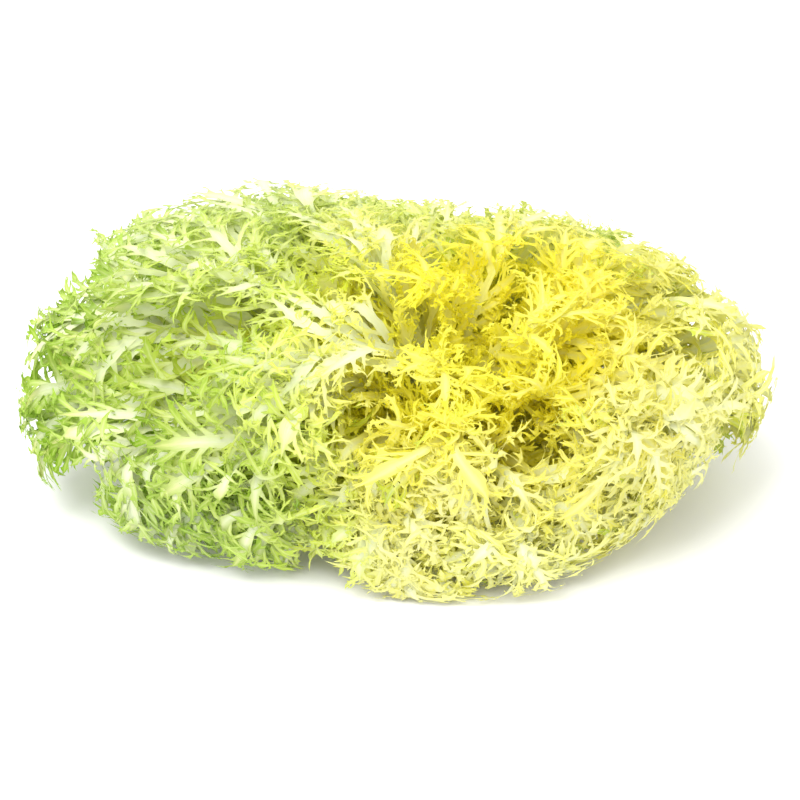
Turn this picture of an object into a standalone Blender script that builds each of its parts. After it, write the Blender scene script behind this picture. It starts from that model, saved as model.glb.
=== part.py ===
"""A head of curly endive (frisee), cut from its root and resting on its cut stem.

A short stem ends in a round crown. Seven tiers of leaves grow from the crown, from a tight heart
to wide outer leaves that arch down towards the table. Their tips meet a low dome whose long ends
stand up a little, and the heart leans to the front and to the right. Each leaf is one thin arched
blade, cut to its rib into toothed lobes that bend up and down.

Lengths are in metres and angles in radians. +Z is up. The origin is the middle of the stem's cut
face, which lies on the table.

No two leaves meet, because each keeps to its own cell. A cell is a range of three shares: `polar`
counts the tiers from the heart's axis, `turn` goes round the axis, and `along` runs from the
crown's centre (0) to the dome (1). `place` bends these straight cells into the head's real form.
"""

import math
import random
from collections import namedtuple

import bmesh
import bpy
from mathutils import Matrix, Vector

# The dome that the leaves' tips reach: its distances from the crown's centre.
DOME_RIGHT, DOME_LEFT = 0.138, 0.172  # to +X and to -X
DOME_FRONT, DOME_BACK = 0.098, 0.106  # to -Y and to +Y
DOME_HEIGHT = 0.091
DOME_POWER = 2.3  # 2 is an ellipsoid; more is boxier
LEFT_BOXINESS = 0.5  # how much boxier the dome is at -X, and rounder at +X
DOME_TURN = math.radians(-8)  # of the dome's long side about the vertical
LIFT_RIGHT, LIFT_LEFT = 0.034, 0.018  # how far the dome's two long ends stand up from the table

# The stem and its crown.
CROWN_CENTRE = Vector((0, 0, 0.024))
CROWN_RADIUS = 0.018
CUT_RADIUS = 0.0168
CUT_CHAMFER = 0.0015
CLEARANCE = 0.0018  # between the crown and the straight foot of each leaf

# How the leaves bend.
LEAN = math.radians(35)  # of the heart's axis from the vertical
LEAN_TOWARDS = math.radians(-70)  # azimuth that the heart leans to, from +X
LEAN_END = math.radians(115)  # polar angle of the leaves that don't lean
CURL = math.radians(36)  # scale of the turn of a leaf's tip away from the heart's axis
CURL_START = math.radians(14)
CURL_END = math.radians(130)
CURL_POWER = 3.6
CROWDING = 0.16  # how much closer the leaves stand on the long side, -X
TABLE_GAP = 0.0014  # least height of a blade's middle over the table
TABLE_SOFTNESS = 0.0025

# Leaf blades.
BLADE = 0.0008  # thickness of a lobe
RIB = 0.0018  # thickness of the rib near the crown
RIB_HALF_WIDTH = 0.0052
RIB_TAPER = 0.72  # share of its width that a rib loses on the way to its tip
RIB_ROOM = 0.72  # share of its sector that a rib may fill near the crown
RIB_RISE = -0.15
CELL_WIDTH = 0.95  # share of its sector that a leaf may fill
CELL_DEPTH = 0.72  # share of its tier's depth that a leaf may fill

HEART_POLAR = math.radians(7.5)
TIER_STEP = math.radians(11.6)
GOLDEN_ANGLE = math.pi * (3 - math.sqrt(5))
LAST_LOBE = 0.88
SHORTEST, LONGEST = 0.98, 1.07  # where leaves end, as shares of the way to the dome

Tier = namedtuple("Tier", "name leaves lobes first_lobe colour")
TIERS = (  # from the heart outwards
    Tier("heart_leaf", 3, 3, 0.46, "yellow"),
    Tier("inner_leaf_a", 5, 4, 0.46, "yellow"),
    Tier("inner_leaf_b", 7, 4, 0.46, "yellow"),
    Tier("middle_leaf_a", 9, 4, 0.44, "pale"),
    Tier("middle_leaf_b", 10, 4, 0.42, "pale"),
    Tier("outer_leaf_a", 12, 5, 0.40, "green"),
    Tier("outer_leaf_b", 13, 5, 0.36, "green"),
)

COLOURS = {
    "stem": (0.80, 0.78, 0.62),
    "yellow": (0.86, 0.80, 0.16),
    "pale": (0.74, 0.80, 0.24),
    "green": (0.42, 0.62, 0.12),
}
ROUGHNESS = 0.45

Leaf = namedtuple("Leaf", "polar turn half_turn end lobes first_lobe")


def to_dome(line):
    """How far the dome is from the crown's centre along a direction."""
    x = line.x * math.cos(DOME_TURN) + line.y * math.sin(DOME_TURN)
    y = line.y * math.cos(DOME_TURN) - line.x * math.sin(DOME_TURN)
    shares = (
        x / (DOME_RIGHT if x > 0 else DOME_LEFT),
        y / (DOME_BACK if y > 0 else DOME_FRONT),
        line.z / DOME_HEIGHT,
    )
    power = DOME_POWER - LEFT_BOXINESS * line.x
    return sum(abs(share) ** power for share in shares) ** (-1 / power)


def direction(polar, turn, along):
    """Where a cell's line points, seen from the crown's centre."""
    curl = CURL * (1 - math.exp(-polar / CURL_START)) * (1 - polar / CURL_END)
    polar += curl * along**CURL_POWER
    azimuth = turn + CROWDING * math.sin(turn)
    line = Vector((math.sin(polar) * math.cos(azimuth), math.sin(polar) * math.sin(azimuth), math.cos(polar)))
    lean_axis = Vector((-math.sin(LEAN_TOWARDS), math.cos(LEAN_TOWARDS), 0))
    return Matrix.Rotation(LEAN * (1 - polar / LEAN_END), 3, lean_axis) @ line


def end_lift(x):
    """How far the dome's curve towards its two long ends lifts a point."""
    return LIFT_RIGHT * (x / DOME_RIGHT) ** 2 if x > 0 else LIFT_LEFT * (x / DOME_LEFT) ** 2


def place(polar, turn, along):
    """The point of the head at these shares."""
    line = direction(polar, turn, along)
    point = CROWN_CENTRE + line * to_dome(line) * along
    over_table = (point.z - TABLE_GAP) / TABLE_SOFTNESS
    if over_table < 30:
        point.z = TABLE_GAP + TABLE_SOFTNESS * math.log1p(math.exp(over_table))
    point.z += end_lift(point.x)
    return point


def place_on_leaf(leaf, along, across, rise):
    """The point at shares of the leaf's length, half width and half depth."""
    turn = leaf.turn + across * CELL_WIDTH * leaf.half_turn
    polar = leaf.polar - rise * CELL_DEPTH * TIER_STEP / 2
    return place(polar, turn, along)


def half_width(leaf, along):
    """The real half width of the leaf's sector."""
    left = place_on_leaf(leaf, along, -1, 0)
    right = place_on_leaf(leaf, along, 1, 0)
    return (right - left).length / 2


def outline(leaf, along):
    """The share of its sector that the leaf fills: less towards its rounded end."""
    to_end = min(1.0, along / leaf.end)
    return math.sqrt(max(0.0, 1 - to_end**6))


def grow_point(bm, edge, tip):
    """A pointed triangle on a free edge: the way that every tooth and tip ends."""
    point = bm.verts.new(tip)
    bm.faces.new((edge.verts[0], edge.verts[1], point))
    return point


def extrude(bm, edge):
    """Grows a new free edge from a free edge, in the same place."""
    made = bmesh.ops.extrude_edge_only(bm, edges=[edge])["geom"]
    return next(item for item in made if isinstance(item, bmesh.types.BMEdge))


def grow_lobe(bm, leaf, edge, side, rng):
    """A lobe on one free edge of the rib: a tapering piece, a tooth on either side, and a tip."""
    start = (edge.verts[0].co + edge.verts[1].co) / 2
    base = abs(edge.verts[0].co.x - edge.verts[1].co.x)
    bend = rng.choice((-1, 1)) * rng.uniform(0.55, 1.0)
    forward = base * rng.uniform(0.6, 0.9)
    span = outline(leaf, start.x + forward) * rng.uniform(0.88, 1.0) - abs(start.y)

    end = extrude(bm, edge)
    for vert in end.verts:
        way = math.copysign(1, vert.co.x - start.x)
        across = start.y + side * (0.55 - 0.04 * way) * span
        vert.co = Vector((start.x + 0.5 * forward + way * 0.24 * base, across, 0.4 * bend))
    near, far = sorted(end.verts, key=lambda vert: vert.co.x)
    tip = grow_point(bm, end, Vector((start.x + forward, start.y + side * span, bend)))
    for shoulder, way in ((near, -1), (far, 1)):
        tooth = (shoulder.co + tip.co) / 2
        tooth += Vector((way * 0.36 * base, side * 0.16 * span, -0.9 * bend))
        grow_point(bm, bm.edges.get((shoulder, tip)), tooth)


def grow_end(bm, leaf, edge, rng):
    """The leaf's end: a lobe with a tip and two teeth."""
    start = (edge.verts[0].co + edge.verts[1].co) / 2
    left = leaf.end - start.x
    bend = rng.uniform(-0.9, 0.9)
    end = extrude(bm, edge)
    for vert in end.verts:
        side = math.copysign(1, vert.co.y)
        vert.co = Vector((start.x + 0.4 * left, side * 0.13, 0.3 * bend))
    tip = grow_point(bm, end, Vector((leaf.end, 0.1 * bend, bend)))
    for vert in list(end.verts):
        side = math.copysign(1, vert.co.y)
        tooth = Vector((start.x + 0.78 * left, side * 0.34, -0.7 * bend))
        grow_point(bm, bm.edges.get((vert, tip)), tooth)


def leaf_sheet(leaf, rng):
    """The leaf's open surface, drawn straight in shares of its cell and then bent into place."""
    foot = (CROWN_RADIUS + CLEARANCE) / to_dome(direction(leaf.polar, leaf.turn, 0))
    lobe_step = (LAST_LOBE * leaf.end - leaf.first_lobe) / leaf.lobes
    stations = [foot, (foot + leaf.first_lobe) / 2]
    stations += [leaf.first_lobe + lobe_step * step for step in range(leaf.lobes + 1)]

    bm = bmesh.new()
    rows = []
    for along in stations:
        taper = 1 - RIB_TAPER * (along - foot) / (leaf.end - foot)
        half = min(RIB_HALF_WIDTH * taper / half_width(leaf, along), RIB_ROOM)
        rows.append([bm.verts.new((along, side * half, RIB_RISE)) for side in (-1, 1)])
    for (a, b), (c, d) in zip(rows, rows[1:]):
        bm.faces.new((a, b, d, c))
    rib = [vert for row in rows for vert in row]
    for near, far in zip(rows[2:], rows[3:]):
        for column, side in ((0, -1), (1, 1)):
            grow_lobe(bm, leaf, bm.edges.get((near[column], far[column])), side, rng)
    grow_end(bm, leaf, bm.edges.get(rows[-1]), rng)

    bm.verts.index_update()
    weights = {vert.index: max(0.0, 1 - (vert.co.x - foot) / leaf.first_lobe) for vert in rib}
    for vert in bm.verts:
        vert.co = place_on_leaf(leaf, *vert.co)
    bmesh.ops.triangulate(bm, faces=bm.faces)
    bmesh.ops.recalc_face_normals(bm, faces=bm.faces)
    return bm, weights


def new_object(name, bm, material):
    mesh = bpy.data.meshes.new(name)
    bm.to_mesh(mesh)
    bm.free()
    mesh.materials.append(material)
    return bpy.data.objects.new(name, mesh)


def make_leaf(name, leaf, material, rng):
    """One leaf: its surface thickened to a blade, and more at the foot of its rib."""
    bm, weights = leaf_sheet(leaf, rng)
    leaf_object = new_object(name, bm, material)
    group = leaf_object.vertex_groups.new(name="rib")
    group.add(range(len(leaf_object.data.vertices)), 0, "REPLACE")
    for index, weight in weights.items():
        group.add([index], weight, "REPLACE")
    solidify = leaf_object.modifiers.new("blade", "SOLIDIFY")
    solidify.thickness = RIB
    solidify.offset = 0
    solidify.vertex_group = "rib"
    solidify.thickness_vertex_group = BLADE / RIB
    return leaf_object


def make_stem(material):
    """The cut stem: a flat face below, short sides, and the round crown that the leaves grow from."""
    profile = [(0, 0), (CUT_RADIUS - CUT_CHAMFER, 0), (CUT_RADIUS, CUT_CHAMFER)]
    arc_start = -math.acos(CUT_RADIUS / CROWN_RADIUS)
    arc_steps = 10
    for step in range(arc_steps + 1):
        angle = arc_start + (math.pi / 2 - arc_start) * step / arc_steps
        radius = CROWN_RADIUS * math.cos(angle) if step < arc_steps else 0
        profile.append((radius, CROWN_CENTRE.z + CROWN_RADIUS * math.sin(angle)))
    bm = bmesh.new()
    verts = [bm.verts.new((radius, 0, height)) for radius, height in reversed(profile)]
    for upper, lower in zip(verts, verts[1:]):
        bm.edges.new((upper, lower))
    stem = new_object("stem", bm, material)
    screw = stem.modifiers.new("turn", "SCREW")
    screw.steps = screw.render_steps = 24
    screw.use_merge_vertices = True
    screw.merge_threshold = 0.00005
    return stem


def make_material(name, colour):
    material = bpy.data.materials.new(name)
    material.use_nodes = True
    shader = material.node_tree.nodes["Principled BSDF"]
    shader.inputs["Base Color"].default_value = (*colour, 1)
    shader.inputs["Roughness"].default_value = ROUGHNESS
    shader.inputs["Metallic"].default_value = 0
    return material


def tier_leaves(number, tier, rng):
    """The leaves of one tier, evenly spaced, with each tier turned by the golden angle."""
    ends = [rng.uniform(SHORTEST, LONGEST) for _ in range(tier.leaves)]
    polar = HEART_POLAR + number * TIER_STEP
    for index, end in enumerate(ends):
        turn = (number * GOLDEN_ANGLE + index * math.tau / tier.leaves) % math.tau
        yield Leaf(polar, turn, math.pi / tier.leaves, end, tier.lobes, tier.first_lobe)


def main():
    for old in list(bpy.data.objects):
        bpy.data.objects.remove(old)
    head = bpy.data.collections.new("curly_endive_head")
    bpy.context.scene.collection.children.link(head)
    materials = {name: make_material(name, colour) for name, colour in COLOURS.items()}
    head.objects.link(make_stem(materials["stem"]))
    for number, tier in enumerate(TIERS):
        rng = random.Random(number)
        for index, leaf in enumerate(tier_leaves(number, tier, rng), start=1):
            name = f"{tier.name}_{index:02d}"
            head.objects.link(make_leaf(name, leaf, materials[tier.colour], rng))


main()
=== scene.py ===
"""Dresses the curly endive head: every leaf of the model becomes a finely cut, curled one.

A leaf is grown as one sheet. Its midrib follows the line of its own CAD node. Long lobes leave the
midrib in turn on either side, slender fingers leave the lobes, and teeth edge the fingers. Each
strip starts on a whole edge of what it grows from, so the sheet is webbed where it forks, as the
real leaf is. Midribs and lobes are solid, with a vein above and a keel below. Fingers and teeth
are single sheets. Lengths are in metres and angles in radians.
"""
import math
import random
from collections import namedtuple

import bpy
import numpy as np
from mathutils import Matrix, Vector


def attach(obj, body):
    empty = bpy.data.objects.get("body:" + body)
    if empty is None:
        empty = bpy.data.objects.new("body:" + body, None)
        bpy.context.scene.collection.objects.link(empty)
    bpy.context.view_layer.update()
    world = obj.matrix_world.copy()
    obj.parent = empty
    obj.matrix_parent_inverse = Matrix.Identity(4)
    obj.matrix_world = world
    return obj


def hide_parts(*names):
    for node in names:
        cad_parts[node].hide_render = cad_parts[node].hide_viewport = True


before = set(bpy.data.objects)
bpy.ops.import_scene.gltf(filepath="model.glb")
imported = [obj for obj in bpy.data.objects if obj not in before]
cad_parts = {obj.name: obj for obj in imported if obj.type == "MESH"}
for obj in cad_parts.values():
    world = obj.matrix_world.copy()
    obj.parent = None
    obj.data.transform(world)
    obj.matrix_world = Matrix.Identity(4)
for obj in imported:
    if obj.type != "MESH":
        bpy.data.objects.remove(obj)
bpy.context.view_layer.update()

# The head's form, as in the model's source.
DOME_RIGHT, DOME_LEFT = 0.138, 0.172
DOME_FRONT, DOME_BACK = 0.098, 0.106
DOME_HEIGHT = 0.091
DOME_POWER = 2.3
LEFT_BOXINESS = 0.5
DOME_TURN = math.radians(-8)
LIFT_RIGHT, LIFT_LEFT = 0.034, 0.018
CROWN_CENTRE = np.array((0, 0, 0.024))
CROWN_RADIUS = 0.018
LEAN = math.radians(35)
LEAN_TOWARDS = math.radians(-70)
LEAN_END = math.radians(115)
CURL = math.radians(36)
CURL_START = math.radians(14)
CURL_END = math.radians(130)
CURL_POWER = 3.6
CROWDING = 0.16
TABLE_GAP = 0.0014
TABLE_SOFTNESS = 0.0025
HEART_POLAR = math.radians(7.5)
TIER_STEP = math.radians(11.6)
GOLDEN_ANGLE = math.pi * (3 - math.sqrt(5))
SHORTEST, LONGEST = 0.98, 1.07

# Tier: its leaves' names, how many leaves, the lobes on each side of one, their finish, and how far
# they are from the heart's kind, at 0, to the outermost leaves' kind, at 1.
Tier = namedtuple("Tier", "name leaves lobes slot outer")
TIERS = (
    Tier("heart_leaf", 3, 10, "yellow", 0.0),
    Tier("inner_leaf_a", 5, 11, "yellow", 0.0),
    Tier("inner_leaf_b", 7, 12, "yellow", 0.1),
    Tier("middle_leaf_a", 9, 13, "pale", 0.2),
    Tier("middle_leaf_b", 10, 15, "pale", 0.4),
    Tier("outer_leaf_a", 12, 17, "green", 0.7),
    Tier("outer_leaf_b", 13, 18, "green", 1.0),
)

# Leaf: its name and finish, its cell of the head, its lobes, and how outer, how bare and how white
# it is.
Leaf = namedtuple("Leaf", "name slot polar turn half_turn end lobes outer bare white")

# Bare leaves show long pale ribs. They fan out over the long side, and less so over the front.
LONG_SIDE, LONG_SIDE_FROM, LONG_SIDE_FULLY = (math.radians(angle) for angle in (160, 105, 40))
FRONT_SIDE, FRONT_FROM, FRONT_FULLY = (math.radians(angle) for angle in (-60, 95, 40))
FRONT_BARENESS = 0.6
FRONT_FIRST_TIER = 3
OUTER_LESS_WHITE = 0.7


# ---------------------------------------------------------------- the head's form


def rise(values, start, end):
    """A smooth rise from 0 at start to 1 at end."""
    share = np.clip((values - start) / (end - start), 0, 1)
    return share * share * (3 - 2 * share)


def to_dome(line):
    """How far the dome is from the crown's centre along each direction."""
    x = line[..., 0] * math.cos(DOME_TURN) + line[..., 1] * math.sin(DOME_TURN)
    y = line[..., 1] * math.cos(DOME_TURN) - line[..., 0] * math.sin(DOME_TURN)
    shares = (
        x / np.where(x > 0, DOME_RIGHT, DOME_LEFT),
        y / np.where(y > 0, DOME_BACK, DOME_FRONT),
        line[..., 2] / DOME_HEIGHT,
    )
    power = DOME_POWER - LEFT_BOXINESS * line[..., 0]
    return sum(np.abs(share) ** power for share in shares) ** (-1 / power)


def end_lift(x):
    """How far the dome's curve towards its two long ends lifts each point."""
    return np.where(x > 0, LIFT_RIGHT * (x / DOME_RIGHT) ** 2, LIFT_LEFT * (x / DOME_LEFT) ** 2)


def turned(vectors, axes, angles):
    """The vectors turned about unit axes."""
    angles = np.asarray(angles)[..., None]
    along = (vectors * axes).sum(-1, keepdims=True) * axes
    return along + (vectors - along) * np.cos(angles) + np.cross(axes, vectors) * np.sin(angles)


def unit(vectors):
    return vectors / np.linalg.norm(vectors, axis=-1, keepdims=True)


def square_to(vectors, others):
    """Unit vectors at right angles to the others, as near as can be to these."""
    return unit(vectors - (vectors * others).sum(-1, keepdims=True) * others)


def over_table(height):
    """Heights pressed softly up from the table."""
    far_over = 30
    share = np.minimum((height - TABLE_GAP) / TABLE_SOFTNESS, far_over)
    pressed = TABLE_GAP + TABLE_SOFTNESS * np.log1p(np.exp(share))
    return np.where(share < far_over, pressed, height)


def place(polar, turn, along):
    """The points of the head at these shares."""
    polar, turn, along = np.broadcast_arrays(polar, turn, along)
    curl = CURL * (1 - np.exp(-polar / CURL_START)) * (1 - polar / CURL_END)
    polar = polar + curl * along**CURL_POWER
    azimuth = turn + CROWDING * np.sin(turn)
    line = np.stack((np.sin(polar) * np.cos(azimuth), np.sin(polar) * np.sin(azimuth), np.cos(polar)), -1)
    lean_axis = np.array((-math.sin(LEAN_TOWARDS), math.cos(LEAN_TOWARDS), 0))
    line = turned(line, lean_axis, LEAN * (1 - polar / LEAN_END))
    point = CROWN_CENTRE + line * (to_dome(line) * along)[..., None]
    point[..., 2] = over_table(point[..., 2]) + end_lift(point[..., 0])
    return point


def bareness(tier_number, turn):
    """How bare a leaf's ribs are, from 0 to 1. The heart's are not."""
    aside = abs(math.remainder(turn - LONG_SIDE, math.tau))
    bare = min(tier_number, 1) * float(rise(-aside, -LONG_SIDE_FROM, -LONG_SIDE_FULLY))
    if tier_number < FRONT_FIRST_TIER:
        return bare
    aside = abs(math.remainder(turn - FRONT_SIDE, math.tau))
    return max(bare, FRONT_BARENESS * float(rise(-aside, -FRONT_FROM, -FRONT_FULLY)))


def all_leaves():
    """Every leaf, with the draws of the model's source."""
    for number, tier in enumerate(TIERS):
        rng = random.Random(number)
        ends = [rng.uniform(SHORTEST, LONGEST) for _ in range(tier.leaves)]
        polar = HEART_POLAR + number * TIER_STEP
        half_turn = math.pi / tier.leaves
        for index, end in enumerate(ends):
            turn = (number * GOLDEN_ANGLE + index * math.tau / tier.leaves) % math.tau
            name = f"{tier.name}_{index + 1:02d}"
            bare = bareness(number, turn)
            white = bare * (1 - OUTER_LESS_WHITE * tier.outer)
            yield Leaf(name, tier.slot, polar, turn, half_turn, end, tier.lobes, tier.outer, bare, white)


# ---------------------------------------------------------------- sheets and strips


class Sheet:
    """A leaf's surface as it grows: its points, its faces, and numbers that say what a point is."""

    KINDS = ("rib", "edge", "tone", "across", "along")

    def __init__(self):
        self.points = []
        self.faces = []
        self.numbers = {kind: [] for kind in self.KINDS}
        self.count = 0

    def add(self, points, **numbers):
        """Adds points, an array of any shape with coordinates last, and returns their indices."""
        shape = points.shape[:-1]
        size = int(np.prod(shape))
        self.points.append(points.reshape(-1, 3))
        for kind in self.KINDS:
            self.numbers[kind].append(np.broadcast_to(numbers.get(kind, 0.0), shape).reshape(-1))
        indices = np.arange(self.count, self.count + size).reshape(shape)
        self.count += size
        return indices

    def face(self, *corners):
        """Adds one face for each entry of the corner arrays."""
        self.faces += np.stack([np.ravel(corner) for corner in corners], 1).tolist()

    def all_points(self):
        return np.concatenate(self.points)


# Base: the edges that strips grow from, with the frames that they start in.
Base = namedtuple("Base", "left right ahead up")
# Form: lengths, widths, how the strips turn on their way, and how broad their palm is near the tip.
Form = namedtuple("Form", "length width bend curl twist palm")
# Look: how much of each strip is rib, at its middle and beside it, and how long it stays so, how far
# out on the leaf the strip starts, and its own shade.
Look = namedtuple("Look", "rib beside reach edge tone")
# Strips: indices of both sides' points, directions and upper sides, each strips by rows.
Strips = namedtuple("Strips", "left right ahead up length tone edge")

STRAIGHTER_FOOT = 0.4  # share of its full bend that a strip has at its foot
WANDER = 0.3
TAPER_POWER = 2.6
FOOT_WIDTH, BELLY_WIDTH = 0.85, 0.35
PALM_AT, PALM_SPREAD = 0.66, 0.16
LEAST_WIDTH, GREATEST_WIDTH = 0.8, 1.2
KEEL = 0.36  # depth of a solid strip's keel, as a share of its half width
LEAST_KEEL = 0.00022
VEIN = 0.22  # how far its vein is sunk
RIB_LOSS = 0.85  # how much of a strip's rib is gone at its tip
VEIN_RIB = 1.5


def strip_half_width(form, share, rng):
    """A strip narrows to its tip, and some are broadest near it."""
    taper = (1 - share**TAPER_POWER) * (FOOT_WIDTH + BELLY_WIDTH * math.sin(math.pi * share))
    palm = form.palm * math.exp(-(((share - PALM_AT) / PALM_SPREAD) ** 2))
    return form.width / 2 * (taper + palm) * rng.uniform(LEAST_WIDTH, GREATEST_WIDTH, len(form.length))


def grow(sheet, base, form, look, steps, rng, solid=False):
    """Grows a pointed strip from each base edge, in this many rows."""
    points = sheet.all_points()
    at = (points[base.left] + points[base.right]) / 2
    ahead, up = base.ahead, base.up
    lefts, rights, veins, keels = [base.left], [base.right], [], []
    aheads, ups = [ahead], [up]
    step = form.length / steps
    for row in range(1, steps + 1):
        share = row / steps
        tightening = STRAIGHTER_FOOT + 2 * (1 - STRAIGHTER_FOOT) * share
        bend, curl, twist = (
            (turn * tightening + rng.normal(0, WANDER, len(at))) / steps
            for turn in (form.bend, form.curl, form.twist)
        )
        ahead = turned(ahead, up, bend)
        across = np.cross(ahead, up)
        ahead, up = turned(ahead, across, curl), turned(up, across, curl)
        up = turned(up, ahead, twist)
        across = np.cross(ahead, up)
        at = at + ahead * step[:, None]
        aheads.append(ahead)
        ups.append(up)
        numbers = {"edge": look.edge + (1 - look.edge) * share, "tone": look.tone, "along": step * row}
        if row == steps:
            tip = sheet.add(at, **numbers)
            break
        half = strip_half_width(form, share, rng)[:, None]
        rib = look.rib * (1 - RIB_LOSS * share**look.reach)
        if solid:
            veins.append(sheet.add(at - up * half * VEIN, rib=np.minimum(rib * VEIN_RIB, 1), **numbers))
            depth = np.maximum(half * (VEIN + KEEL), LEAST_KEEL)
            keels.append(sheet.add(at - up * depth, rib=rib, **numbers))
        beside = rib * look.beside
        lefts.append(sheet.add(at - across * half, rib=beside, across=-1.0, **numbers))
        rights.append(sheet.add(at + across * half, rib=beside, across=1.0, **numbers))
    if solid:
        close_solid_strips(sheet, lefts, veins, rights, keels, tip)
    else:
        join_rows(sheet, (lefts, rights))
        sheet.face(lefts[-1], rights[-1], tip)
    stacked = (np.stack(rows, 1) for rows in (lefts, rights, aheads, ups))
    return Strips(*stacked, form.length, look.tone, look.edge)


def close_solid_strips(sheet, lefts, veins, rights, keels, tip):
    """The faces of solid strips, from their base edges to their tips."""
    sheet.face(lefts[0], rights[0], rights[1], veins[0], lefts[1])
    sheet.face(rights[0], lefts[0], lefts[1], keels[0], rights[1])
    join_rows(sheet, (lefts[1:], veins, rights[1:], keels, lefts[1:]))
    for first, second in ((lefts, veins), (veins, rights), (rights, keels), (keels, lefts)):
        sheet.face(first[-1], second[-1], tip)


def join_rows(sheet, columns):
    """Faces between each row and the next, from each column to its neighbour."""
    for first, second in zip(columns, columns[1:]):
        for row in range(len(first) - 1):
            sheet.face(first[row], second[row], second[row + 1], first[row + 1])


def side_bases(strips, rows_by_side, keep, rng):
    """The side edges that something grows from: their row, their side, which strips, and the base.
    keep gives the share of each row's edges that are used."""
    for side, rows in rows_by_side:
        for row in rows:
            chosen = np.flatnonzero(rng.random(len(strips.length)) < keep(row))
            if not len(chosen):
                continue
            if side < 0:
                left, right = strips.left[chosen, row], strips.left[chosen, row + 1]
            else:
                left, right = strips.right[chosen, row + 1], strips.right[chosen, row]
            ahead = unit(strips.ahead[chosen, row] + strips.ahead[chosen, row + 1])
            up = unit(strips.up[chosen, row] + strips.up[chosen, row + 1])
            yield row, side, chosen, Base(left, right, ahead, up)


# ---------------------------------------------------------------- how strips vary

# Trait: a number for the heart's leaves, and what fully outer and fully bare leaves have on top.
Trait = namedtuple("Trait", "heart outer bare", defaults=(0.0, 0.0))
# Draw: a normal draw, by the traits of its middle and its spread.
Draw = namedtuple("Draw", "middle spread")
# Habit: how the strips of one kind leave what they grow from, bend sideways, curl and twist, and how
# wide they are: at least so much, and by a share of their length more.
Habit = namedtuple("Habit", "angle bend curl twist least_width width")

LOBE = Habit(
    angle=Draw(Trait(0.0), Trait(0.16)),
    bend=Draw(Trait(0.35, bare=-0.15), Trait(0.45, bare=-0.2)),
    curl=Draw(Trait(-0.2), Trait(0.9, bare=-0.5)),
    twist=Draw(Trait(0.0), Trait(1.0, bare=-0.6)),
    least_width=0.0019,
    width=Trait(0.045, outer=-0.016),
)
END_LOBE = Habit(
    angle=None,
    bend=Draw(Trait(0.0), Trait(0.4)),
    curl=Draw(Trait(0.1), Trait(0.6)),
    twist=Draw(Trait(0.0), Trait(0.5)),
    least_width=0.0026,
    width=Trait(0.0),
)
FINGER = Habit(
    angle=Draw(Trait(0.8, bare=-0.25), Trait(0.2)),
    bend=Draw(Trait(0.15), Trait(0.65, bare=-0.2)),
    curl=Draw(Trait(0.45), Trait(1.15, outer=-0.35, bare=-0.25)),
    twist=Draw(Trait(0.0), Trait(1.1, outer=-0.2, bare=-0.3)),
    least_width=0.0012,
    width=Trait(0.036, outer=0.030, bare=-0.012),
)
TOOTH = Habit(
    angle=Draw(Trait(0.7), Trait(0.22)),
    bend=Draw(Trait(0.2), Trait(0.6)),
    curl=Draw(Trait(0.4), Trait(1.0)),
    twist=Draw(Trait(0.0), Trait(0.7)),
    least_width=0.0008,
    width=Trait(0.06, outer=0.04),
)


def trait_of(leaf, trait):
    return trait.heart + trait.outer * leaf.outer + trait.bare * leaf.bare


def drawn(leaf, draw, count, rng):
    return rng.normal(trait_of(leaf, draw.middle), trait_of(leaf, draw.spread), count)


def drawn_form(leaf, habit, length, side, rng):
    """The form of strips of these lengths on this side of what they grow from, with no palm yet."""
    width = habit.least_width + trait_of(leaf, habit.width) * length
    bend = side * drawn(leaf, habit.bend, len(length), rng)
    curl = drawn(leaf, habit.curl, len(length), rng)
    twist = drawn(leaf, habit.twist, len(length), rng)
    return Form(length, width, bend, curl, twist, 0.0)


# ---------------------------------------------------------------- growing a leaf

# Midrib: indices of both sides' points, and its directions, upper sides and room, by stations.
Midrib = namedtuple("Midrib", "left right ahead up room")

# The midrib. Its stations are shares of the way from the crown's centre to the dome.
NEAR_CENTRE = 0.01
STATIONS_BELOW = 5  # stations of the midrib below its first lobe
LEAF_LENGTH = 0.15  # roughly, for the scale of the fibres
SWAY, SWAY_WAVE = 0.24, 4.5  # share of the room beside the midrib
BOW, BOW_WAVE = 0.004, 6
ROLL, WAVY_ROLL, ROLL_WAVE = 0.3, 0.35, 4
RIB_HALF_WIDTH = 0.0046
RIB_END_HALF_WIDTH = 0.0008
RIB_TAPER_POWER = 1.3
RIB_ROOM = 0.72  # share of its sector that a rib may fill near the crown
RIB_SIDES_RISE, RIB_VEIN_DEPTH, RIB_KEEL_DEPTH = 0.25, 0.2, 0.75
RIB_SIDES_LOOK, RIB_END_EDGE = 0.85, 0.1
MIDDLE_TONE = 0.5

# Lobes. They leave the midrib at ever smaller angles, and grow longer and then shorter.
FIRST_LOBE, LAST_LOBE = 0.29, 0.95  # where lobes leave the midrib, as shares of its length
FIRST_ANGLE, ANGLE_LOSS, BARE_ANGLE_LOSS = 1.1, 0.55, 0.22
LEAF_ROUNDNESS, LEAST_ROUNDED = 9, 0.02
FIRST_LOBE_LENGTH, LOBES_LENGTHEN = 0.32, 2.2
LOBE_LENGTH = Trait(1.4, outer=0.15)
LOBE_LENGTHS = (0.65, 1.2)
BARE_LONGER = 0.25
SHORTEST_LOBE, LONGEST_LOBE = 0.008, 0.062
SMALL_LOBE = 0.020
LOBE_STEPS, SMALL_LOBE_STEPS = 15, 9
LOBE_TILT, OUTER_TILT, TILT_SPREAD = 0.5, 0.8, 0.45
LOBE_PALM, LOBE_PALM_SPREAD, BROADEST_PALM = 0.2, 0.7, 1.7
LOBE_TONES, WHITE_TONE = (0.2, 0.8), 0.3
LOBE_RIB, LOBE_RIB_REACH = Trait(0.6, bare=0.4), Trait(1.0, bare=1.6)
LOBE_EDGE = 0.12
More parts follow.
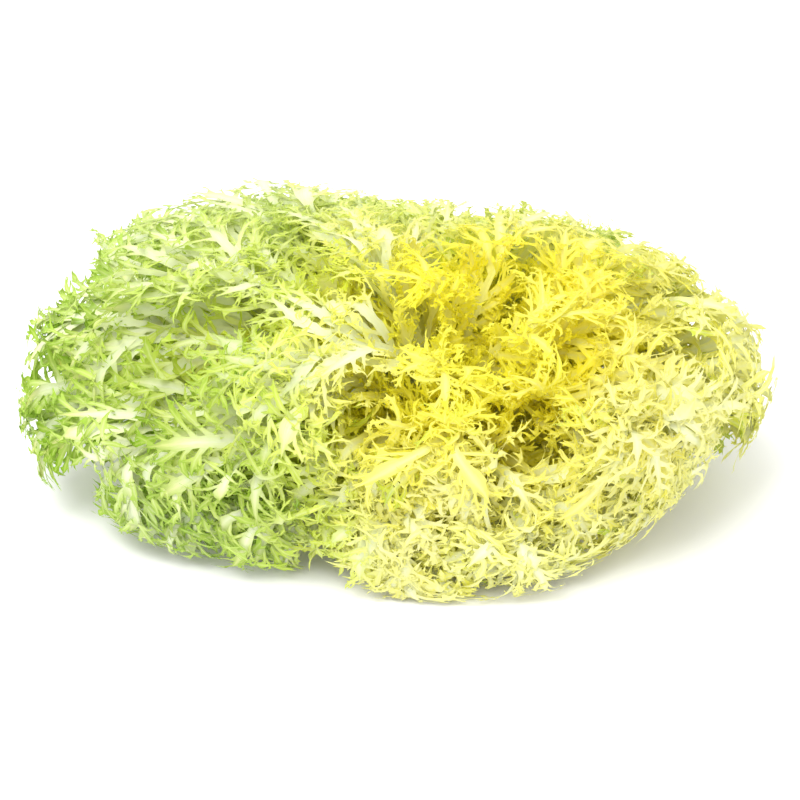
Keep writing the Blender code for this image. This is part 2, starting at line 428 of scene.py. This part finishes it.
END_LOBE_LENGTH, END_LOBE_PALM = 0.016, 0.3
END_LOBE_RIB, END_LOBE_EDGE = 0.3, 0.5
BESIDE_RIB = 0.6  # how much of a strip's sides is rib, as a share of its middle
WHITE_LOBE_BESIDE, WHITE_FINGER_BESIDE = 0.35, 0.3  # what white leaves have on top

# Fingers. A bare lobe drops some of those near its foot.
FINGER_STEPS = 6
FINGERS_KEPT = 0.95
BARE_FOOT, BARE_FOOT_ENDS, BARE_FOOT_FULLY = 0.6, 0.5, 0.15
FINGER_TILT = 0.55
FINGER_LENGTH, FINGERS_SHORTEN = 0.5, 0.5
FINGER_LENGTHS = (0.45, 1.35)
SHORTEST_FINGER, LONGEST_FINGER = 0.004, 0.024
FINGER_PALM = 0.7
FINGER_TONE_SPREAD = 0.12
FINGER_RIB, FINGER_RIB_BARE, FINGER_RIB_WHITE = 0.2, 0.25, 0.45
FINGER_EDGE, FINGER_EDGE_GAIN = 0.3, 0.4

# Teeth, by side and rows.
TOOTH_STEPS = 3
TOOTH_ROWS = ((-1, (1, 3)), (1, (2, 4)))
TEETH_KEPT = Trait(0.78, outer=-0.2, bare=-0.1)
TOOTH_LENGTHS = (0.18, 0.55)
FIRST_TOOTH, TEETH_SHORTEN = 1.1, 0.12


def midrib_line(leaf, stations):
    """The midrib's points, directions, upper sides and the sector's half width at these shares."""
    nudge = 0.01
    at = place(leaf.polar, leaf.turn, stations)
    beyond = place(leaf.polar, leaf.turn, stations + nudge)
    before = place(leaf.polar, leaf.turn, stations - nudge)
    left = place(leaf.polar, leaf.turn + leaf.half_turn, stations)
    right = place(leaf.polar, leaf.turn - leaf.half_turn, stations)
    room = np.linalg.norm(left - right, axis=-1) / 2
    near_left = place(leaf.polar, leaf.turn + nudge, stations)
    near_right = place(leaf.polar, leaf.turn - nudge, stations)
    ahead = unit(beyond - before)
    up = unit(np.cross(unit(near_right - near_left), ahead))
    return at, ahead, up, room


def swayed(at, ahead, up, room, share, rng):
    """The midrib with the slow sway, bow and roll that every leaf has of its own."""
    phase = rng.uniform(0, math.tau, 2)
    sway = SWAY * room * share * np.sin(phase[0] + SWAY_WAVE * share)
    bow = BOW * share * np.sin(phase[1] + BOW_WAVE * share)
    at = at + np.cross(ahead, up) * sway[:, None] + up * bow[:, None]
    ahead = unit(np.gradient(at, axis=0))
    roll = rng.normal(0, ROLL) * share
    roll = roll + rng.normal(0, WAVY_ROLL) * np.sin(phase[1] + ROLL_WAVE * share) * share
    return at, ahead, turned(square_to(up, ahead), ahead, roll)


def grow_teeth(sheet, fingers, leaf, rng):
    """Slender teeth in turn along both sides of a batch of fingers."""
    kept = trait_of(leaf, TEETH_KEPT)
    for row, side, chosen, base in side_bases(fingers, TOOTH_ROWS, lambda row: kept, rng):
        count = len(chosen)
        ahead = turned(base.ahead, base.up, -side * drawn(leaf, TOOTH.angle, count, rng))
        length = fingers.length[chosen] * rng.uniform(*TOOTH_LENGTHS, count)
        length = length * (FIRST_TOOTH - TEETH_SHORTEN * row)
        form = drawn_form(leaf, TOOTH, length, side, rng)
        edge = fingers.edge + (1 - fingers.edge) * row / FINGER_STEPS
        look = Look(0.0, BESIDE_RIB, 1.0, edge, fingers.tone[chosen])
        grow(sheet, base._replace(ahead=ahead), form, look, TOOTH_STEPS, rng)


def grow_fingers(sheet, lobes, steps, leaf, rng):
    """Fingers in turn along both sides of a batch of lobes. Bare lobes have few near their foot."""
    rows_by_side = ((-1, range(2, steps - 1, 2)), (1, range(1, steps - 1, 2)))

    def keep(row):
        near_foot = float(rise(-row / steps, -BARE_FOOT_ENDS, -BARE_FOOT_FULLY))
        return FINGERS_KEPT * (1 - BARE_FOOT * leaf.bare * near_foot)

    for row, side, chosen, base in side_bases(lobes, rows_by_side, keep, rng):
        share = (row + 0.5) / steps
        count = len(chosen)
        ahead = turned(base.ahead, base.up, -side * drawn(leaf, FINGER.angle, count, rng))
        up = turned(base.up, ahead, rng.normal(0, FINGER_TILT, count))
        length = FINGER_LENGTH * lobes.length[chosen] * (1 - FINGERS_SHORTEN * share)
        length = length * rng.uniform(*FINGER_LENGTHS, count)
        length = np.clip(length, SHORTEST_FINGER, LONGEST_FINGER)
        form = drawn_form(leaf, FINGER, length, side, rng)._replace(palm=FINGER_PALM * leaf.outer)
        tone = np.clip(lobes.tone[chosen] + rng.normal(0, FINGER_TONE_SPREAD, count), 0, 1)
        whiter = FINGER_RIB_BARE * leaf.bare + FINGER_RIB_WHITE * leaf.white
        rib = (FINGER_RIB + whiter) * (1 - share)
        edge = FINGER_EDGE + FINGER_EDGE_GAIN * share
        look = Look(rib, BESIDE_RIB + WHITE_FINGER_BESIDE * leaf.white, 1.0, edge, tone)
        base = base._replace(ahead=square_to(ahead, up), up=up)
        fingers = grow(sheet, base, form, look, FINGER_STEPS, rng)
        grow_teeth(sheet, fingers, leaf, rng)


def grow_midrib(sheet, leaf, stations, rng):
    """The midrib, solid from the crown to the last station."""
    at, ahead, up, room = midrib_line(leaf, stations)
    share = (stations - stations[0]) / (leaf.end - stations[0])
    at, ahead, up = swayed(at, ahead, up, room, share, rng)
    half = RIB_END_HALF_WIDTH + (RIB_HALF_WIDTH - RIB_END_HALF_WIDTH) * (1 - share) ** RIB_TAPER_POWER
    half = np.minimum(half, RIB_ROOM * room)[:, None]
    aside = np.cross(ahead, up) * half
    raised = up * half * RIB_SIDES_RISE
    numbers = {"edge": RIB_END_EDGE * share, "tone": MIDDLE_TONE, "along": stations * LEAF_LENGTH}
    left = sheet.add(at - aside + raised, rib=RIB_SIDES_LOOK, across=-1.0, **numbers)
    vein = sheet.add(at - up * half * RIB_VEIN_DEPTH, rib=1.0, **numbers)
    right = sheet.add(at + aside + raised, rib=RIB_SIDES_LOOK, across=1.0, **numbers)
    keel = sheet.add(at - up * half * RIB_KEEL_DEPTH, rib=1.0, **numbers)
    join_rows(sheet, (left, vein, right, keel, left))
    return Midrib(left, right, ahead, up, room)


def grow_lobes(sheet, leaf, stations, midrib, rng):
    """Lobes in turn on either side of the midrib, each with its fingers."""
    first = len(stations) - 1 - 2 * leaf.lobes
    lefts = first + 2 * np.arange(leaf.lobes)
    rows = np.concatenate((lefts, lefts + 1))
    sides = np.repeat((-1, 1), leaf.lobes)
    near = np.where(sides < 0, midrib.left[rows], midrib.right[rows + 1])
    far = np.where(sides < 0, midrib.left[rows + 1], midrib.right[rows])
    progress = (rows - first) / (2 * leaf.lobes)
    count = len(rows)

    angle = FIRST_ANGLE - ANGLE_LOSS * progress - BARE_ANGLE_LOSS * leaf.bare
    angle = angle + drawn(leaf, LOBE.angle, count, rng)
    rounded = np.sqrt(np.clip(1 - (stations[rows] / leaf.end) ** LEAF_ROUNDNESS, LEAST_ROUNDED, 1))
    grows = np.clip(FIRST_LOBE_LENGTH + LOBES_LENGTHEN * progress, 0, 1)
    length = trait_of(leaf, LOBE_LENGTH) * midrib.room[rows] * rounded * grows / np.sin(angle)
    length = length * rng.uniform(*LOBE_LENGTHS, count) * (1 + BARE_LONGER * leaf.bare)
    length = np.clip(length, SHORTEST_LOBE, LONGEST_LOBE)
    ahead = turned(midrib.ahead[rows], midrib.up[rows], -sides * angle)
    tilt = rng.normal(LOBE_TILT - OUTER_TILT * leaf.outer**2, TILT_SPREAD, count)
    up = turned(midrib.up[rows], midrib.ahead[rows], -sides * tilt)
    ahead = square_to(ahead, up)
    form = drawn_form(leaf, LOBE, length, sides, rng)
    palm = np.clip(rng.normal(LOBE_PALM, LOBE_PALM_SPREAD, count), 0, BROADEST_PALM)
    form = form._replace(palm=palm)
    tone = np.minimum(rng.uniform(*LOBE_TONES, count) + WHITE_TONE * leaf.white, 1)

    rib = trait_of(leaf, LOBE_RIB)
    beside = BESIDE_RIB + WHITE_LOBE_BESIDE * leaf.white
    reach = trait_of(leaf, LOBE_RIB_REACH)
    for chosen, steps in ((length >= SMALL_LOBE, LOBE_STEPS), (length < SMALL_LOBE, SMALL_LOBE_STEPS)):
        if not chosen.any():
            continue
        batch = Form(*(values[chosen] for values in form))
        base = Base(near[chosen], far[chosen], ahead[chosen], up[chosen])
        look = Look(rib, beside, reach, LOBE_EDGE, tone[chosen])
        lobes = grow(sheet, base, batch, look, steps, rng, solid=True)
        grow_fingers(sheet, lobes, steps, leaf, rng)


def grow_end_lobe(sheet, leaf, midrib, rng):
    """The lobe that ends the midrib, with its fingers."""
    base = Base(midrib.left[-1:], midrib.right[-1:], midrib.ahead[-1:], midrib.up[-1:])
    form = drawn_form(leaf, END_LOBE, np.array([END_LOBE_LENGTH]), 1, rng)
    form = form._replace(palm=END_LOBE_PALM)
    look = Look(END_LOBE_RIB, BESIDE_RIB, 1.0, END_LOBE_EDGE, np.array([MIDDLE_TONE]))
    lobe = grow(sheet, base, form, look, SMALL_LOBE_STEPS, rng, solid=True)
    grow_fingers(sheet, lobe, SMALL_LOBE_STEPS, leaf, rng)


def grow_leaf(leaf, rng):
    """The whole leaf as one sheet."""
    sheet = Sheet()
    line = unit(place(leaf.polar, leaf.turn, np.array(NEAR_CENTRE)) - CROWN_CENTRE)
    foot = float(CROWN_RADIUS / to_dome(line))
    below = np.linspace(foot, FIRST_LOBE * leaf.end, STATIONS_BELOW + 1)[:-1]
    stations = np.linspace(FIRST_LOBE, LAST_LOBE, 2 * leaf.lobes + 1) * leaf.end
    stations = np.concatenate((below, stations))
    midrib = grow_midrib(sheet, leaf, stations, rng)
    grow_lobes(sheet, leaf, stations, midrib, rng)
    grow_end_lobe(sheet, leaf, midrib, rng)
    return sheet


# ---------------------------------------------------------------- how far leaves reach

# How far out a leaf's tips may reach, as a share of the way to the dome.
LEAST_REACH, GREATEST_REACH = 0.945, 1.085
REACH_BY_LOBE = 0.08
SOFTEST_BEND, HARDEST_BEND = 0.19, 0.10  # how far before their reach the tips start to bend

# One tuft stands out sideways at the back of the long side.
TUFT_TOWARDS, TUFT_SPREAD, TUFT_REACH = math.radians(150), math.radians(7), 0.12
TUFT_STEEPEST, TUFT_FLATTEST = 0.50, 0.34


def pressed_in(points, tone, rng):
    """Keeps points near the dome and over the table. They bend in before their own reach, which
    varies by leaf and by lobe. Also says how far out each is, as a share of the way to the dome."""
    reach = rng.uniform(LEAST_REACH, GREATEST_REACH) + REACH_BY_LOBE * (tone[:, None] - MIDDLE_TONE)
    reach = np.minimum(reach, GREATEST_REACH)
    start = reach - rng.uniform(HARDEST_BEND, SOFTEST_BEND)
    away = points - CROWN_CENTRE
    away[:, 2] -= end_lift(points[:, 0])
    far = np.linalg.norm(away, axis=-1, keepdims=True)
    share = far / to_dome(away / far)[:, None]
    aside = (np.arctan2(away[:, 1:2], away[:, 0:1]) - TUFT_TOWARDS) / TUFT_SPREAD
    slope = away[:, 2:] / np.linalg.norm(away[:, :2], axis=-1, keepdims=True)
    reach = reach + TUFT_REACH * np.exp(-(aside**2)) * rise(-slope, -TUFT_STEEPEST, -TUFT_FLATTEST)
    room = reach - start
    soft = np.where(share > start, start + room * np.tanh((share - start) / room), share)
    points = CROWN_CENTRE + away * soft / share
    points[:, 2] = over_table(points[:, 2]) + end_lift(points[:, 0])
    return points, soft[:, 0]


# ---------------------------------------------------------------- greenness and paleness

# Regions: how far each point belongs to the long side, to what lies deep in the head, to the tips
# of the long end, to the low rim, to the back, and to the right, from 0 to 1, and how far out from
# the heart it is.
Regions = namedtuple("Regions", "long_side deep far_tips low behind right out")

LONG_SIDE_SLANT, LONG_SIDE_VARIES = 0.12, 0.012
LONG_SIDE_STARTS, LONG_SIDE_ENDS = 0.005, 0.075
# Deep: how far a point lies inside the dome. It stands in for the head's shaded hollows, which the
# colours paint.
DEEP_STARTS, DEEP_ENDS = 0.95, 0.72
FAR_STARTS, FAR_ENDS = 0.085, 0.160
TIP_STARTS, TIP_ENDS = 0.2, 0.8
LOW_STARTS, LOW_ENDS = 0.075, 0.02
BEHIND_ENDS, RIGHT_ENDS = 0.065, 0.06
HEART_X, HEART_Y, HEART_REACH = 0.015, -0.028, 0.125

GREEN_ALL_OVER = 0.04
GREEN_LONG_SIDE, GREEN_LONG_SIDE_TIPS, GREEN_FAR_TIPS = 0.22, 0.42, 0.22
# Partly painted shade: the back's right gets extra green, which darkens the top of the head where the
# lamp falls most.
GREEN_BEHIND, GREEN_AND_SHADE_BEHIND_RIGHT = 0.22, 0.22
# The low rim of the outer leaves is greener. That green is partly painted shade: it darkens the low
# front.
LOW_GREEN_AND_SHADE, GREEN_OUTER_TIPS, SHORT_SIDE_SHARE = 0.28, 0.12, 0.35
GREEN_RIM, RIM_STARTS, RIM_ENDS = 0.12, 0.55, 1.05
DEEP_LESS_GREEN = 0.20
GREEN_VARIES = 0.06
# Lobes with a tone under these are green at their tips, also on the yellow side.
GREEN_LOBES, GREEN_LOBE_TONE, YELLOW_LOBE_TONE = 0.45, 0.22, 0.26
GREEN_LOBE_TIP, GREEN_LOBE_OUT = (0.4, 0.9), (0.35, 0.6)

PALE_ALL_OVER = 0.15
PALE_OUT, PALE_STARTS, PALE_ENDS = 0.55, 0.30, 0.80
PALE_BEHIND, PALE_BEHIND_LONG_SIDE = 0.55, 0.25
PALE_BARE = 0.62
LESS_PALE_TIPS, LONG_SIDE_PALER, LESS_PALE_FAR_TIPS = 0.55, 0.05, 0.2
# Painted shade: deep points lose this much paleness, ribs only part of it, so hollows come out darker and
# more saturated.
DEEP_SHADE_LESS_PALE, DEEP_RIB_SHARE = 0.6, 0.5
PALE_VARIES = 0.08


def find_regions(leaf, points, depth, edge, rng):
    x, y, z = points.T
    long_side = LONG_SIDE_SLANT * y - x + rng.normal(0, LONG_SIDE_VARIES)
    return Regions(
        long_side=rise(long_side, LONG_SIDE_STARTS, LONG_SIDE_ENDS),
        deep=rise(-depth, -DEEP_STARTS, -DEEP_ENDS),
        far_tips=rise(-x, FAR_STARTS, FAR_ENDS) * rise(edge, TIP_STARTS, TIP_ENDS),
        low=leaf.outer * rise(-z, -LOW_STARTS, -LOW_ENDS),
        behind=rise(y, 0, BEHIND_ENDS),
        right=rise(x, 0, RIGHT_ENDS),
        out=np.sqrt(((x - HEART_X) / HEART_REACH) ** 2 + ((y - HEART_Y) / DOME_BACK) ** 2),
    )


def greenness(leaf, regions, numbers, rng):
    """The long side is pale green with green tips. The rest is yellow, with a few green lobes."""
    edge, tone = numbers["edge"], numbers["tone"]
    green = GREEN_ALL_OVER + regions.long_side * (GREEN_LONG_SIDE + GREEN_LONG_SIDE_TIPS * edge)
    green += GREEN_FAR_TIPS * regions.far_tips
    # Partly painted shade: the extra green at the back's right darkens the top, which the lamp lights
    # most.
    green += regions.behind * (GREEN_BEHIND + GREEN_AND_SHADE_BEHIND_RIGHT * regions.right)
    # Partly painted shade: the low rim's extra green also darkens the front.
    outermost = LOW_GREEN_AND_SHADE * regions.low + GREEN_OUTER_TIPS * leaf.outer * edge
    green += outermost * (SHORT_SIDE_SHARE + (1 - SHORT_SIDE_SHARE) * regions.long_side)
    green_lobes = GREEN_LOBES * rise(-tone, -YELLOW_LOBE_TONE, -GREEN_LOBE_TONE)
    green += green_lobes * rise(edge, *GREEN_LOBE_TIP) * rise(regions.out, *GREEN_LOBE_OUT)
    green += GREEN_RIM * rise(regions.out, RIM_STARTS, RIM_ENDS)
    green += rng.normal(0, GREEN_VARIES) - DEEP_LESS_GREEN * regions.deep * regions.long_side
    return np.clip(green, 0, 1)


def paleness(leaf, regions, numbers, rng):
    """Rim, back and bare leaves are pale. The deep inside is less so: blanched, and with painted shade.
    """
    edge, rib = numbers["edge"], numbers["rib"]
    pale = PALE_ALL_OVER + PALE_OUT * rise(regions.out, PALE_STARTS, PALE_ENDS)
    pale += regions.behind * (PALE_BEHIND - PALE_BEHIND_LONG_SIDE * regions.long_side)
    pale += PALE_BARE * leaf.bare * (1 - edge)
    pale -= regions.long_side * (LESS_PALE_TIPS * edge - LONG_SIDE_PALER)
    pale -= LESS_PALE_FAR_TIPS * regions.far_tips
    pale += rng.normal(0, PALE_VARIES)
    # Painted shade in the hollows, partly also the blanched inside's own yellow: deep points are less
    # pale.
    pale -= DEEP_SHADE_LESS_PALE * (1 - DEEP_RIB_SHARE * rib) * regions.deep
    return np.clip(pale, 0, 1)


# ---------------------------------------------------------------- leaf objects

SHARP = math.radians(48)
FIRST_SEED = 100


def set_numbers(mesh, name, values):
    attribute = mesh.attributes.new(name, "FLOAT", "POINT")
    attribute.data.foreach_set("value", np.ascontiguousarray(values, dtype=np.float32))


def make_leaf(leaf, material, rng):
    sheet = grow_leaf(leaf, rng)
    numbers = {kind: np.concatenate(values) for kind, values in sheet.numbers.items()}
    points, depth = pressed_in(sheet.all_points(), numbers["tone"], rng)
    regions = find_regions(leaf, points, depth, numbers["edge"], rng)
    numbers["green"] = greenness(leaf, regions, numbers, rng)
    numbers["pale"] = paleness(leaf, regions, numbers, rng)
    mesh = bpy.data.meshes.new(leaf.name + "_blade")
    mesh.from_pydata(points.tolist(), [], sheet.faces)
    mesh.shade_smooth()
    mesh.set_sharp_from_angle(angle=SHARP)
    for kind, values in numbers.items():
        set_numbers(mesh, kind, values)
    mesh.materials.append(material)
    piece = bpy.data.objects.new(leaf.name + "_curled", mesh)
    bpy.context.scene.collection.objects.link(piece)
    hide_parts(leaf.name)
    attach(piece, "root")


# ---------------------------------------------------------------- materials

GOLD = (0.96, 0.885, 0.034)
LEMON = (0.95, 0.93, 0.070)
LIME = (0.74, 0.82, 0.045)
LEAF_GREEN = (0.53, 0.68, 0.026)
DEEP_GREEN = (0.27, 0.49, 0.015)
PALE_YELLOW = (0.93, 0.92, 0.50)
PALE_GREEN = (0.87, 0.91, 0.30)
WHITE_RIB = (0.92, 0.95, 0.75)
YELLOW_RIB = (0.93, 0.91, 0.38)
BROWN_TIP = (0.40, 0.29, 0.08)
PALE_STEM = (0.86, 0.86, 0.52)
GREEN_STEM = (0.66, 0.70, 0.30)
DARK_RING = (0.52, 0.33, 0.14)
LIGHT_RING = (0.74, 0.60, 0.34)
CUT_RIM = (0.40, 0.22, 0.09)
FLOOR_GREY = (0.93, 0.93, 0.93)
FLOOR_WHITE = (0.95, 0.95, 0.95)

# Blade colours by greenness.
BLADE_COLOURS = ((0.0, GOLD), (0.22, LEMON), (0.42, LIME), (0.68, LEAF_GREEN), (1.0, DEEP_GREEN))
LEAF_SPECULAR = 0.14

# Finish: how pale the palest lobes get, and the share of light that shines through the blade.
Finish = namedtuple("Finish", "palest shining_through")
FINISHES = {
    "yellow": Finish(0.85, 0.50),
    "pale": Finish(0.95, 0.44),
    "green": Finish(0.85, 0.26),
}


class Nodes:
    """Short calls for a material's nodes. A value is a number, a colour or another node's output."""

    def __init__(self, name):
        self.material = bpy.data.materials.new(name)
        self.material.use_nodes = True
        self.tree = self.material.node_tree
        self.shader = self.tree.nodes["Principled BSDF"]
        self.output = self.tree.nodes["Material Output"]

    def put(self, socket, value):
        if isinstance(value, bpy.types.NodeSocket):
            self.tree.links.new(value, socket)
        elif isinstance(value, tuple) and len(value) == 3 and socket.type == "RGBA":
            socket.default_value = (*value, 1)
        else:
            socket.default_value = value

    def attribute(self, name):
        node = self.tree.nodes.new("ShaderNodeAttribute")
        node.attribute_name = name
        return node.outputs["Fac"]

    def place(self):
        """Where the point is on the object."""
        return self.tree.nodes.new("ShaderNodeTexCoord").outputs["Object"]

    def split(self, where):
        """The three coordinates of a place."""
        node = self.tree.nodes.new("ShaderNodeSeparateXYZ")
        self.put(node.inputs[0], where)
        return node.outputs

    def point(self, x, y, z):
        node = self.tree.nodes.new("ShaderNodeCombineXYZ")
        for socket, value in zip(node.inputs, (x, y, z)):
            self.put(socket, value)
        return node.outputs[0]

    def mix(self, share, first, second):
        node = self.tree.nodes.new("ShaderNodeMix")
        node.data_type = "RGBA"
        self.put(node.inputs[0], share)
        self.put(node.inputs[6], first)
        self.put(node.inputs[7], second)
        return node.outputs[2]

    def math(self, operation, first, second=0.0):
        node = self.tree.nodes.new("ShaderNodeMath")
        node.operation = operation
        self.put(node.inputs[0], first)
        self.put(node.inputs[1], second)
        return node.outputs[0]

    def add(self, first, second):
        return self.math("ADD", first, second)

    def times(self, first, second):
        return self.math("MULTIPLY", first, second)

    def remap(self, value, start, end, low=0.0, high=1.0):
        """The value's way from start to end, smoothly from low to high."""
        node = self.tree.nodes.new("ShaderNodeMapRange")
        node.interpolation_type = "SMOOTHSTEP"
        for socket, number in zip(node.inputs, (value, start, end, low, high)):
            self.put(socket, number)
        return node.outputs[0]

    def noise(self, where, scale, detail):
        node = self.tree.nodes.new("ShaderNodeTexNoise")
        self.put(node.inputs["Vector"], where)
        node.inputs["Scale"].default_value = scale
        node.inputs["Detail"].default_value = detail
        return node.outputs["Fac"]

    def ramp(self, share, stops):
        """A colour for a share, from (share, colour) stops."""
        node = self.tree.nodes.new("ShaderNodeValToRGB")
        self.put(node.inputs[0], share)
        elements = node.color_ramp.elements
        while len(elements) < len(stops):
            elements.new(0.5)
        for element, (position, colour) in zip(elements, stops):
            element.position = position
            element.color = (*colour, 1)
        return node.outputs[0]

    def bump(self, height, distance, strength):
        node = self.tree.nodes.new("ShaderNodeBump")
        self.put(node.inputs["Height"], height)
        node.inputs["Distance"].default_value = distance
        node.inputs["Strength"].default_value = strength
        self.put(self.shader.inputs["Normal"], node.outputs[0])

    def translucent(self, colour, share):
        """Mixes light that comes through into the shader."""
        node = self.tree.nodes.new("ShaderNodeBsdfTranslucent")
        self.put(node.inputs["Color"], colour)
        both = self.tree.nodes.new("ShaderNodeMixShader")
        both.inputs[0].default_value = share
        self.put(both.inputs[1], self.shader.outputs[0])
        self.put(both.inputs[2], node.outputs[0])
        self.put(self.output.inputs["Surface"], both.outputs[0])


def leaf_material(slot, finish):
    """Blade colour by greenness, a shade of its own for each lobe, pale ribs with fibres along them,
    fine mottling, and a little browning on a few tips."""
    nodes = Nodes(slot + "_leaf")
    green, pale, tone, rib = (nodes.attribute(kind) for kind in ("green", "pale", "tone", "rib"))
    across, along, edge = (nodes.attribute(kind) for kind in ("across", "along", "edge"))
    where = nodes.place()

    mottle = nodes.math("SUBTRACT", nodes.noise(where, scale=90, detail=3), 0.5)
    blade = nodes.ramp(nodes.add(green, nodes.times(mottle, 0.22)), BLADE_COLOURS)
    paled = nodes.times(pale, nodes.remap(tone, 0.15, 0.85, low=0.25, high=finish.palest))
    pale_blade = nodes.mix(nodes.remap(green, 0.15, 0.5), PALE_YELLOW, PALE_GREEN)
    blade = nodes.mix(paled, blade, pale_blade)

    fibre_place = nodes.point(nodes.times(across, 6.0), nodes.times(along, 90.0), nodes.times(tone, 37.0))
    fibres = nodes.noise(fibre_place, scale=1.6, detail=2)
    ribbed = nodes.mix(nodes.remap(pale, 0.1, 0.6), YELLOW_RIB, WHITE_RIB)
    vein = nodes.remap(nodes.math("ABSOLUTE", across), 0.55, 0.0, low=0.0, high=0.3)
    blade = nodes.mix(vein, blade, ribbed)
    ribness = nodes.times(rib, nodes.remap(fibres, 0.3, 0.6, low=0.75, high=1.0))
    colour = nodes.mix(ribness, blade, ribbed)

    spots = nodes.remap(nodes.noise(where, scale=45, detail=2), 0.70, 0.76)
    browned = nodes.times(spots, nodes.remap(edge, 0.8, 1.0, low=0.0, high=0.7))
    colour = nodes.mix(browned, colour, BROWN_TIP)

    nodes.put(nodes.shader.inputs["Base Color"], colour)
    nodes.put(nodes.shader.inputs["Roughness"], nodes.remap(fibres, 0.2, 0.8, low=0.30, high=0.52))
    nodes.shader.inputs["Specular IOR Level"].default_value = LEAF_SPECULAR
    crinkle = nodes.add(nodes.noise(where, scale=420, detail=2), nodes.times(fibres, 0.8))
    nodes.bump(crinkle, distance=0.0004, strength=0.5)
    nodes.translucent(colour, finish.shining_through)
    return nodes.material


def stem_material():
    """A pale, mottled stem, and a cut face browned in rings."""
    nodes = Nodes("cut_stem")
    where = nodes.place()
    x, y, z = nodes.split(where)
    radius = nodes.math("SQRT", nodes.add(nodes.times(x, x), nodes.times(y, y)))
    mottle = nodes.noise(where, scale=260, detail=3)
    side = nodes.mix(nodes.remap(mottle, 0.35, 0.7), PALE_STEM, GREEN_STEM)
    rings = nodes.math("SINE", nodes.times(radius, 1500.0))
    cut = nodes.mix(nodes.remap(nodes.add(rings, mottle), -0.6, 1.2), DARK_RING, LIGHT_RING)
    cut = nodes.mix(nodes.remap(radius, 0.011, 0.0168), cut, CUT_RIM)
    near_cut = nodes.remap(z, 0.0030, 0.0010)
    nodes.put(nodes.shader.inputs["Base Color"], nodes.mix(near_cut, side, cut))
    nodes.put(nodes.shader.inputs["Roughness"], nodes.remap(mottle, 0.3, 0.7, low=0.45, high=0.7))
    nodes.bump(nodes.add(mottle, rings), distance=0.0004, strength=0.4)
    return nodes.material


def floor_material():
    nodes = Nodes("studio_floor")
    grain = nodes.noise(nodes.place(), scale=3, detail=2)
    nodes.put(nodes.shader.inputs["Base Color"], nodes.mix(grain, FLOOR_GREY, FLOOR_WHITE))
    nodes.shader.inputs["Roughness"].default_value = 0.8
    return nodes.material


# ---------------------------------------------------------------- studio

LENS = 85  # millimetres
CAMERA_ELEVATION = math.radians(33)
CAMERA_DISTANCE = 0.850
CAMERA_TARGET = Vector((-0.016, 0, 0.034))
FLOOR_HALF = 9
SKY_STRENGTH = 1.17
LAMP_WATTS, LAMP_SIZE = 11, 0.7
LAMP_PLACE = Vector((-0.35, -0.30, 1.10))
LAMP_TARGET = Vector((0, 0, 0.05))


def aim(piece, direction):
    """Turns a camera or a lamp to look in a direction."""
    piece.rotation_euler = direction.to_track_quat("-Z", "Y").to_euler()


def make_camera():
    camera = bpy.data.cameras.new("camera")
    camera.lens = LENS
    piece = bpy.data.objects.new("camera", camera)
    away = Vector((0, -math.cos(CAMERA_ELEVATION), math.sin(CAMERA_ELEVATION)))
    piece.location = CAMERA_TARGET + away * CAMERA_DISTANCE
    aim(piece, -away)
    bpy.context.scene.collection.objects.link(piece)
    bpy.context.scene.camera = piece


def make_floor():
    mesh = bpy.data.meshes.new("floor")
    corners = [(x * FLOOR_HALF, y * FLOOR_HALF, 0) for x, y in ((-1, -1), (1, -1), (1, 1), (-1, 1))]
    mesh.from_pydata(corners, [], [(0, 1, 2, 3)])
    mesh.materials.append(floor_material())
    floor = bpy.data.objects.new("floor", mesh)
    bpy.context.scene.collection.objects.link(floor)


def make_light():
    """A white sky and one soft lamp, over the head and a little to the left."""
    world = bpy.data.worlds.new("studio")
    world.use_nodes = True
    sky = world.node_tree.nodes["Background"]
    sky.inputs["Color"].default_value = (1, 1, 1, 1)
    sky.inputs["Strength"].default_value = SKY_STRENGTH
    bpy.context.scene.world = world
    light = bpy.data.lights.new("softbox", "AREA")
    light.energy = LAMP_WATTS
    light.size = LAMP_SIZE
    lamp = bpy.data.objects.new("softbox", light)
    lamp.location = LAMP_PLACE
    aim(lamp, LAMP_TARGET - LAMP_PLACE)
    bpy.context.scene.collection.objects.link(lamp)
    bpy.context.scene.view_settings.view_transform = "Standard"


def main():
    materials = {slot: leaf_material(slot, finish) for slot, finish in FINISHES.items()}
    for number, leaf in enumerate(all_leaves()):
        make_leaf(leaf, materials[leaf.slot], np.random.default_rng(FIRST_SEED + number))
    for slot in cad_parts["stem"].material_slots:
        slot.material = stem_material()
    make_camera()
    make_floor()
    make_light()


main()
